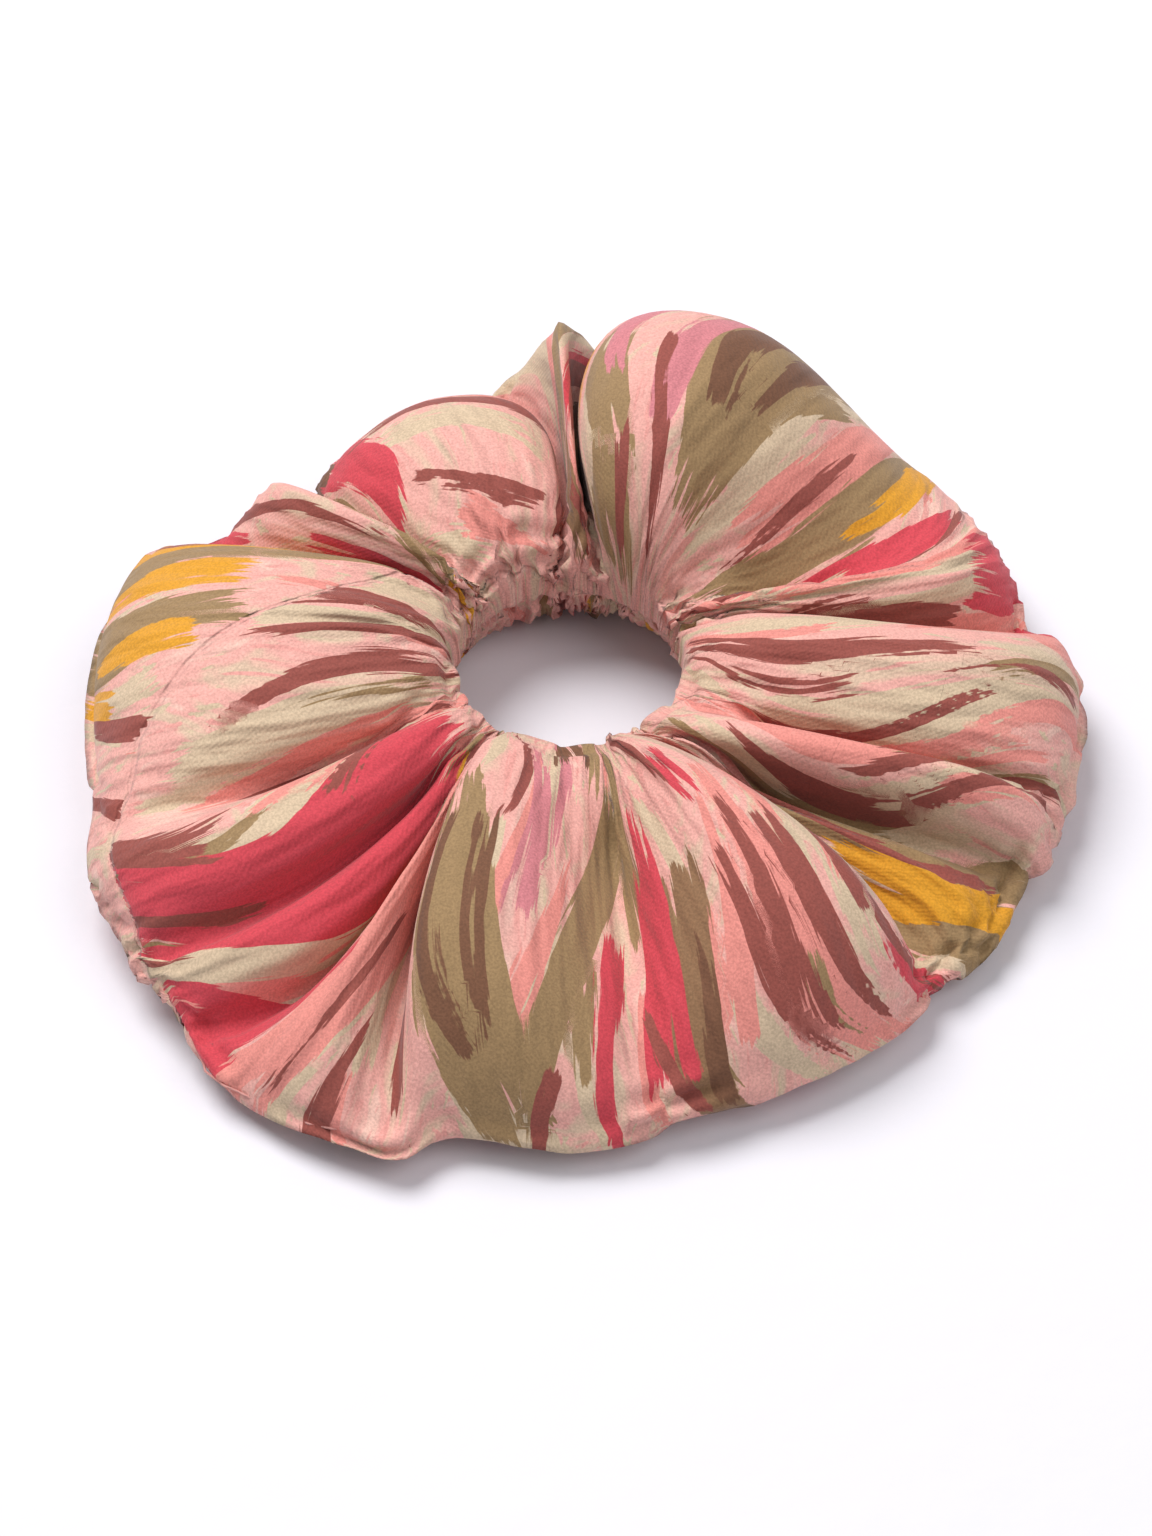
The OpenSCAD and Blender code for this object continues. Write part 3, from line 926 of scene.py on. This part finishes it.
def make_elastic():
    extra = math.degrees(ELASTIC_OVERLAP / ELASTIC_MID_R)
    steps, rows = 240, 4
    points, faces = [], []
    for i in range(steps + 1):
        turn = (360 + extra) * i / steps
        rise = min(1, max(0, (turn - 350) / 10))
        r = ELASTIC_MID_R + 1.04 * ELASTIC_THICKNESS * rise
        a = math.radians(JOIN_DEG - extra / 2 + turn)
        for k in range(rows + 1):
            z = ELASTIC_MIDDLE + ELASTIC_WIDTH * (k / rows - 0.5)
            points.append((r * math.cos(a), r * math.sin(a), z))
    for i in range(steps):
        for k in range(rows):
            p = i * (rows + 1) + k
            faces.append((p, p + rows + 1, p + rows + 2, p + 1))
    mesh = bpy.data.meshes.new("elastic")
    mesh.from_pydata(points, [], faces)
    elastic = bpy.data.objects.new("elastic", mesh)
    bpy.context.scene.collection.objects.link(elastic)
    bpy.ops.object.select_all(action="DESELECT")
    elastic.select_set(True)
    bpy.context.view_layer.objects.active = elastic
    thick = elastic.modifiers.new("thickness", "SOLIDIFY")
    thick.thickness = ELASTIC_THICKNESS
    thick.offset = 0
    bpy.ops.object.modifier_apply(modifier=thick.name)
    rounded = elastic.modifiers.new("edges", "BEVEL")
    rounded.width = 0.2 * MM
    rounded.segments = 2
    rounded.limit_method = "ANGLE"
    bpy.ops.object.modifier_apply(modifier=rounded.name)
    return elastic


def plain_material(name, colour, pitch, roughness=0.8):
    """A thread or braid: one colour, with ribs of that pitch in mm."""
    material = bpy.data.materials.new(name)
    material.use_nodes = True
    tree = material.node_tree
    shader = tree.nodes["Principled BSDF"]
    shader.inputs["Base Color"].default_value = (*colour, 1)
    shader.inputs["Roughness"].default_value = roughness
    at = add_node(tree, "ShaderNodeTexCoord").outputs["Object"]
    ribs = add_node(tree, "ShaderNodeTexWave", {"bands_direction": "Z"}, i0=at)
    ribs.inputs["Scale"].default_value = 0.31 / (pitch * MM)
    ribs.inputs["Distortion"].default_value = 1
    bump = add_node(tree, "ShaderNodeBump")
    bump.inputs["Distance"].default_value = pitch * 0.2 * MM
    bump.inputs["Strength"].default_value = 0.6
    tree.links.new(ribs.outputs[1], bump.inputs["Height"])
    tree.links.new(bump.outputs[0], shader.inputs["Normal"])
    return material


elastic = make_elastic()
elastic.data.materials.append(plain_material("braided_elastic", (0.80, 0.77, 0.71), 0.9))
print("elastic loop, in mm:", round(2 * math.pi * ELASTIC_MID_R / MM, 1))

# %% [markdown]
# ## The stitches
# Three threads hold the scrunchie together. The long seam's stitches are placed 1.1 to
# 1.5 mm below the outside of the cloth. They cross it in many places, as real stitches
# do, and a few points of them come out on top. Ladder stitches close the ring where the
# tube's ends meet, in the deep fold at the front. A zigzag holds the overlap of the
# elastic.

# %% The threads
THREAD_R = 0.17 * MM
LONG_STITCH = 3 * MM
LONG_DEPTHS = (1.5, 1.1)        # mm below the outside of the cloth, in turn
LADDER_STITCH = 4 * MM
LADDER_REACH = 1.2 * MM
LADDER_DEPTH = 0.75 * MM
ZIGZAG_ROW = 1.6 * MM
fine_normals = grid_normals(fine)


def on_cloth(u, v, depth):
    """A point depth under the cloth, u along the strip and v round the tube, 0 to 1."""
    x, y = u % 1 * FINE_RING, v % 1 * FINE_TUBE
    i, j = int(x), int(y)
    s, t = x - i, y - j
    place = np.zeros(3)
    for di, dj, share in ((0, 0, (1 - s) * (1 - t)), (1, 0, s * (1 - t)),
                          (0, 1, (1 - s) * t), (1, 1, s * t)):
        a, b = (i + di) % FINE_RING, (j + dj) % FINE_TUBE
        place += share * (fine[a, b] - depth * fine_normals[a, b])
    return place


def make_thread(name, path, colour, closed=False):
    curve = bpy.data.curves.new(name, "CURVE")
    curve.dimensions = "3D"
    curve.bevel_depth = THREAD_R
    curve.bevel_resolution = 1
    curve.use_fill_caps = True
    line = curve.splines.new("POLY")
    line.points.add(len(path) - 1)
    for point, place in zip(line.points, path):
        point.co = (*place, 1)
    line.use_cyclic_u = closed
    thread = bpy.data.objects.new(name, curve)
    bpy.context.scene.collection.objects.link(thread)
    bpy.ops.object.select_all(action="DESELECT")
    thread.select_set(True)
    bpy.context.view_layer.objects.active = thread
    bpy.ops.object.convert(target="MESH")
    thread = bpy.context.object
    thread.data.materials.append(plain_material(name, colour, 0.3))
    return thread


def long_seam_path():
    stitches = round(STRIP_LENGTH / LONG_STITCH)
    path = []
    for k in range(stitches * 2):
        u = k / (stitches * 2)
        a = float(seam_across(u))
        v = (1 - a) / 2 if a <= 1 else (3 - a) / 2
        path.append(on_cloth(u, v, LONG_DEPTHS[k % 2] * MM))
    return path


def closing_path():
    stitches = round(TUBE_LENGTH_ROUND / LADDER_STITCH)
    u = place_on_strip("front", 0.02)
    reach = LADDER_REACH / STRIP_LENGTH
    path = []
    for k in range(stitches):
        for side in (-1, 1):
            v = (k + 0.15 * side) / stitches
            path.append(on_cloth(u + reach * (side if k % 2 else -side), v, LADDER_DEPTH))
    return path


def zigzag_path():
    r = ELASTIC_MID_R + 1.6 * ELASTIC_THICKNESS + THREAD_R
    span = 0.7 * ELASTIC_OVERLAP / r
    path = []
    for row in range(3):
        for k in range(7):
            s = k / 6 if row % 2 == 0 else 1 - k / 6
            a = math.radians(JOIN_DEG) + (s - 0.5) * span
            z = ELASTIC_MIDDLE + (row - 1 + (0.3 if k % 2 else -0.3)) * ZIGZAG_ROW
            path.append((r * math.cos(a), r * math.sin(a), z))
    return path


SEAM_COLOUR = (0.56, 0.26, 0.23)
long_thread = make_thread("long_seam_thread", long_seam_path(), SEAM_COLOUR, closed=True)
closing_thread = make_thread("closing_seam_thread", closing_path(), SEAM_COLOUR)
join_thread = make_thread("elastic_join_thread", zigzag_path(), (0.85, 0.79, 0.70))
print("threads:", [len(t.data.vertices) for t in (long_thread, closing_thread, join_thread)])

# %% [markdown]
# ## The plaster
# The board under the ring is smoothed plaster: nearly white, a little lilac in the
# daylight, with low trowel marks and a fine grain.

# %% The plaster


def make_plaster():
    material = bpy.data.materials.new("plaster")
    material.use_nodes = True
    tree = material.node_tree
    shader = tree.nodes["Principled BSDF"]
    at = add_node(tree, "ShaderNodeTexCoord").outputs["Object"]
    bump = None
    for scale, detail, depth in ((14, 4, 2.4), (120, 5, 0.4)):
        noise = add_node(tree, "ShaderNodeTexNoise", i0=at)
        noise.inputs["Scale"].default_value = scale
        noise.inputs["Detail"].default_value = detail
        node = add_node(tree, "ShaderNodeBump")
        node.inputs["Distance"].default_value = depth * MM
        node.inputs["Strength"].default_value = 0.5
        tree.links.new(noise.outputs[0], node.inputs["Height"])
        if bump:
            tree.links.new(bump, node.inputs["Normal"])
        bump = node.outputs[0]
    tree.links.new(bump, shader.inputs["Normal"])
    shader.inputs["Base Color"].default_value = (0.75, 0.735, 0.78, 1)
    shader.inputs["Roughness"].default_value = 0.75
    shader.inputs["Specular IOR Level"].default_value = 0.2
    return material


floor.data.materials.append(make_plaster())

# %% [markdown]
# ## Hiding the CAD parts
# The CAD ring is two halves that slide apart along +X. Every soft piece here is whole and
# takes the place of CAD parts, which are hidden, and the placement of each piece is
# applied to its points.

# %% Hiding the CAD parts and applying each piece's placement
for piece, nodes, finish in (
    (casing, ("casing_left", "casing_right"), "printed_crepe"),
    (elastic, ("elastic_left", "elastic_right"), "braided_elastic"),
    (long_thread, ("long_seam_thread_left", "long_seam_thread_right"), "seam_thread"),
    (closing_thread, ("closing_seam_thread",), "seam_thread"),
    (join_thread, ("elastic_join_thread",), "elastic_thread"),
):
    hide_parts(*nodes)
    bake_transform(piece)
